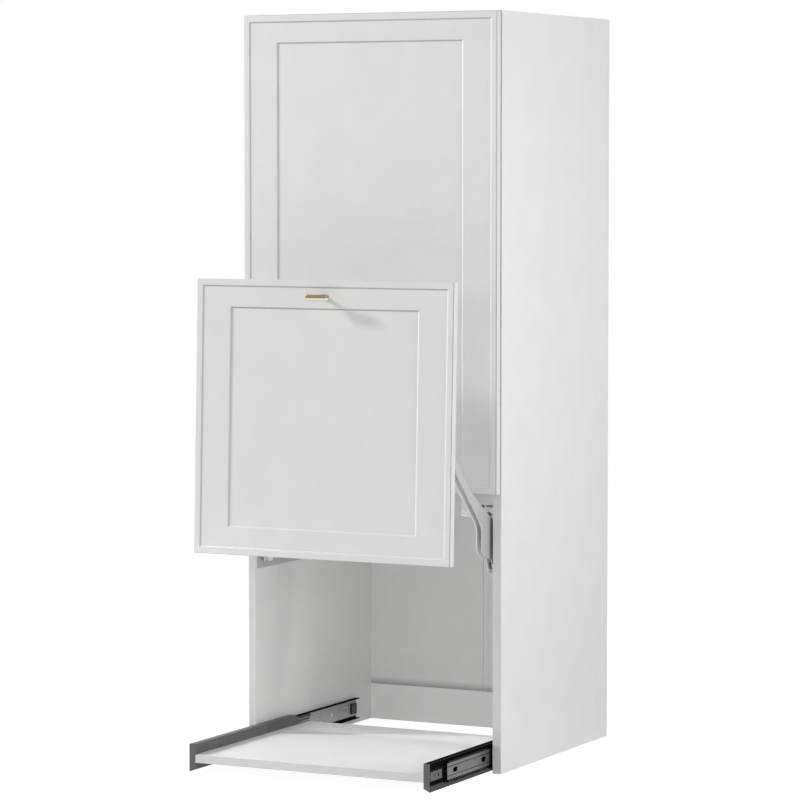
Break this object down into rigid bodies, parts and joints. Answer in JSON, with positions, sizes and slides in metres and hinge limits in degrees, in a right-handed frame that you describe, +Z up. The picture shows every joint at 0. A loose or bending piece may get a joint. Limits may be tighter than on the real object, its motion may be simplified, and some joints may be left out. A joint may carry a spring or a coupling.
{
  "type": "kitchen wall cabinet",
  "caption": "Tall white kitchen cabinet for a counter: hinged upper door, parallel lift door shown raised, and a pull-out shelf on ball runners.",
  "frame": {"origin": "centre of the rear rail's underside, on the surface that the cabinet stands on", "axes": "+Z up, +Y towards the wall, so the doors face -Y; +X to the right as seen from the front"},
  "size_m": [0.6, 0.845, 1.586],
  "materials": {
    "carcass_white": "satin white paint",
    "back_white": "matt white foil",
    "strip_white": "matt",
    "door_white": "satin white paint",
    "shelf_white": "satin white paint",
    "zinc_steel": "zinc plated",
    "fitting_white": "satin white powder coat",
    "cover_white": "satin",
    "spring_steel": "oiled",
    "pad_grey": "soft",
    "handle_brass": "brushed",
    "runner_grey": "satin dark grey",
    "runner_steel": "zinc plated",
    "stop_black": "matt",
    "block_grey": "matt"
  },
  "bodies": {
    "cabinet": {"left_side_panel": "carcass_white", "right_side_panel": "carcass_white", "top_panel": "carcass_white", "divider_panel": "carcass_white", "back_panel_left": "back_white", "back_panel_right": "back_white", "back_joint_strip": "strip_white", "rear_rail": "carcass_white", "inner_shelf_low": "carcass_white", "inner_shelf_mid": "carcass_white", "inner_shelf_high": "carcass_white", "shelf_pins": "zinc_steel", "cam_locks": "zinc_steel", "cam_bolts": "zinc_steel", "wall_bracket_left": "zinc_steel", "wall_bracket_right": "zinc_steel", "hinge_plates": "zinc_steel", "hinge_arms": "zinc_steel", "lift_plate_right": "fitting_white", "lift_plate_left": "fitting_white", "lift_cover_right": "cover_white", "lift_cover_left": "cover_white", "lift_spring_right": "spring_steel", "lift_spring_left": "spring_steel", "lift_nose_right": "cover_white", "lift_nose_left": "cover_white", "lift_damper_right": "cover_white", "lift_damper_left": "cover_white", "fixed_pivot_pins": "zinc_steel", "cabinet_runner_right": "runner_steel", "cabinet_runner_left": "runner_steel", "runner_stops": "stop_black", "runner_screws": "zinc_steel"},
    "upper_door": {"upper_door": "door_white", "hinge_cups": "zinc_steel", "hinge_pins": "zinc_steel", "upper_door_pads": "pad_grey"},
    "main_arm_right": {"main_arm_right": "fitting_white", "arm_roller_right": "spring_steel"},
    "main_arm_left": {"main_arm_left": "fitting_white", "arm_roller_left": "spring_steel"},
    "follower_arm_right": {"follower_arm_right": "fitting_white"},
    "follower_arm_left": {"follower_arm_left": "fitting_white"},
    "lift_door": {"lift_door": "door_white", "door_bracket_right": "fitting_white", "door_bracket_left": "fitting_white", "door_pivot_pins": "zinc_steel", "bracket_screws": "zinc_steel", "handle_bar": "handle_brass", "handle_stem": "handle_brass", "handle_screw": "zinc_steel", "lift_door_pads": "pad_grey"},
    "mid_runner_right": {"mid_runner_right": "runner_steel"},
    "mid_runner_left": {"mid_runner_left": "runner_steel"},
    "pull_out_shelf": {"pull_out_shelf": "shelf_white", "shelf_runner_right": "runner_grey", "shelf_runner_left": "runner_grey", "runner_end_blocks": "block_grey", "shelf_screws": "zinc_steel"}
  },
  "joints": [
    {"name": "lift", "type": "hinge", "parent": "cabinet", "child": "main_arm_right", "pos_m": [0, -0.498, 0.5086], "axis": [1, 0, 0], "range_deg": [0, 120.8]},
    {"name": "lift_door_turn", "type": "hinge", "parent": "main_arm_right", "child": "lift_door", "pos_m": [0, -0.73146, 0.67207], "axis": [1, 0, 0], "range_deg": [-118.86, 0]},
    {"name": "follower_right_turn", "type": "hinge", "parent": "cabinet", "child": "follower_arm_right", "pos_m": [0, -0.5111, 0.5367], "axis": [1, 0, 0], "range_deg": [0, 120.99]},
    {"name": "main_left_turn", "type": "hinge", "parent": "cabinet", "child": "main_arm_left", "pos_m": [0, -0.498, 0.5086], "axis": [1, 0, 0], "range_deg": [0, 120.81]},
    {"name": "follower_left_turn", "type": "hinge", "parent": "cabinet", "child": "follower_arm_left", "pos_m": [0, -0.5111, 0.5367], "axis": [1, 0, 0], "range_deg": [0, 120.99]},
    {"name": "shelf_slide", "type": "slide", "parent": "cabinet", "child": "pull_out_shelf", "axis": [0, 1, 0], "range_m": [0, 0.29301]},
    {"name": "mid_right_slide", "type": "slide", "parent": "cabinet", "child": "mid_runner_right", "axis": [0, 1, 0], "range_m": [0, 0.21051]},
    {"name": "mid_left_slide", "type": "slide", "parent": "cabinet", "child": "mid_runner_left", "axis": [0, 1, 0], "range_m": [0, 0.21051]},
    {"name": "upper_door_swing", "type": "hinge", "parent": "cabinet", "child": "upper_door", "pos_m": [-0.2745, -0.556, 1.085], "axis": [0, 0, -1], "range_deg": [0, 4]}
  ],
  "couplings": [
    {"joint": "lift_door_turn", "follows": "lift", "ratio": -0.98386},
    {"joint": "follower_right_turn", "follows": "lift", "ratio": 1.0015},
    {"joint": "main_left_turn", "follows": "lift", "ratio": 1},
    {"joint": "follower_left_turn", "follows": "lift", "ratio": 1.0015},
    {"joint": "shelf_slide", "follows": "lift", "m_per_rad": 0.13897},
    {"joint": "mid_right_slide", "follows": "lift", "m_per_rad": 0.099841},
    {"joint": "mid_left_slide", "follows": "lift", "m_per_rad": 0.099841}
  ]
}
